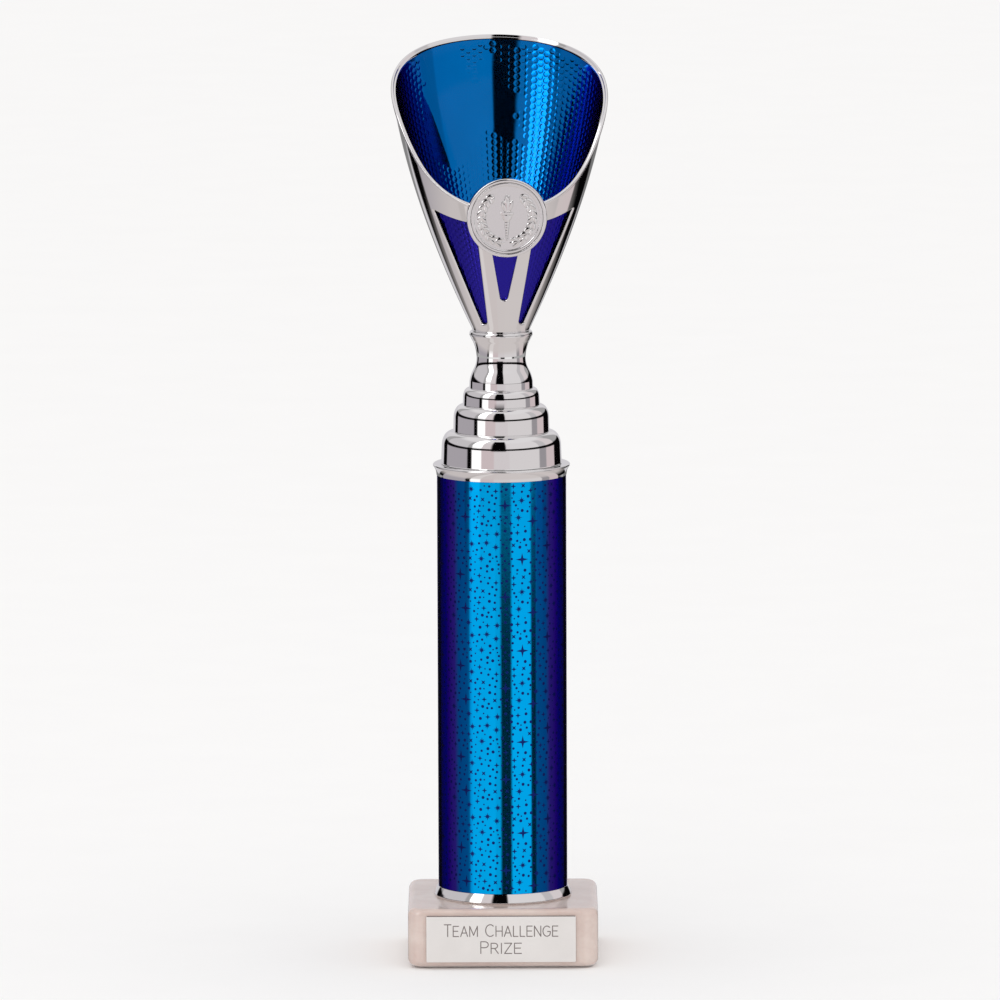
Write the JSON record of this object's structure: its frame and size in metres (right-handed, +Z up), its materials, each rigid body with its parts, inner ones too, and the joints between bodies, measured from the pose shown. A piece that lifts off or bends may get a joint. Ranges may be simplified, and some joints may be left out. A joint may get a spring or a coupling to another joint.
{
  "type": "column trophy",
  "caption": "Award trophy: stone block, foil-wrapped round column, stepped riser and an openwork flared cup with a coloured liner and a round centre disc.",
  "frame": {"origin": "middle of the felt pad's underside, where the trophy stands", "axes": "+Z up along the column, -Y towards the front with the engraving plate and the centre disc, +X to the right seen from the front"},
  "size_m": [0.0755, 0.0735, 0.319],
  "materials": {
    "felt": "matte",
    "marble": "polished, faint grey-pink veins",
    "plate": "satin silver, engraved",
    "adhesive": "matte foam tape",
    "zinc_steel": "zinc-plated",
    "silver_plastic": "vacuum-metallised chrome",
    "tube_plastic": "matte, unpainted",
    "blue_foil": "metallic foil with small stars",
    "blue_liner": "metallic, dimpled",
    "centre_metal": "satin silver, stamped"
  },
  "bodies": {
    "root": {"base_felt": "felt", "marble_base": "marble", "plate_tape": "adhesive", "engraving_plate": "plate", "base_nut": "zinc_steel", "base_lock_washer": "zinc_steel", "base_washer": "zinc_steel", "tie_rod": "zinc_steel", "lower_collar": "silver_plastic", "column_tube": "tube_plastic", "column_foil": "blue_foil", "upper_collar": "silver_plastic", "riser": "silver_plastic", "cup_shell": "silver_plastic", "cup_liner": "blue_liner", "cup_washer": "zinc_steel", "cup_lock_washer": "zinc_steel", "cup_nut": "zinc_steel", "centre_adhesive": "adhesive", "centre_disc": "centre_metal"}
  },
  "joints": []
}
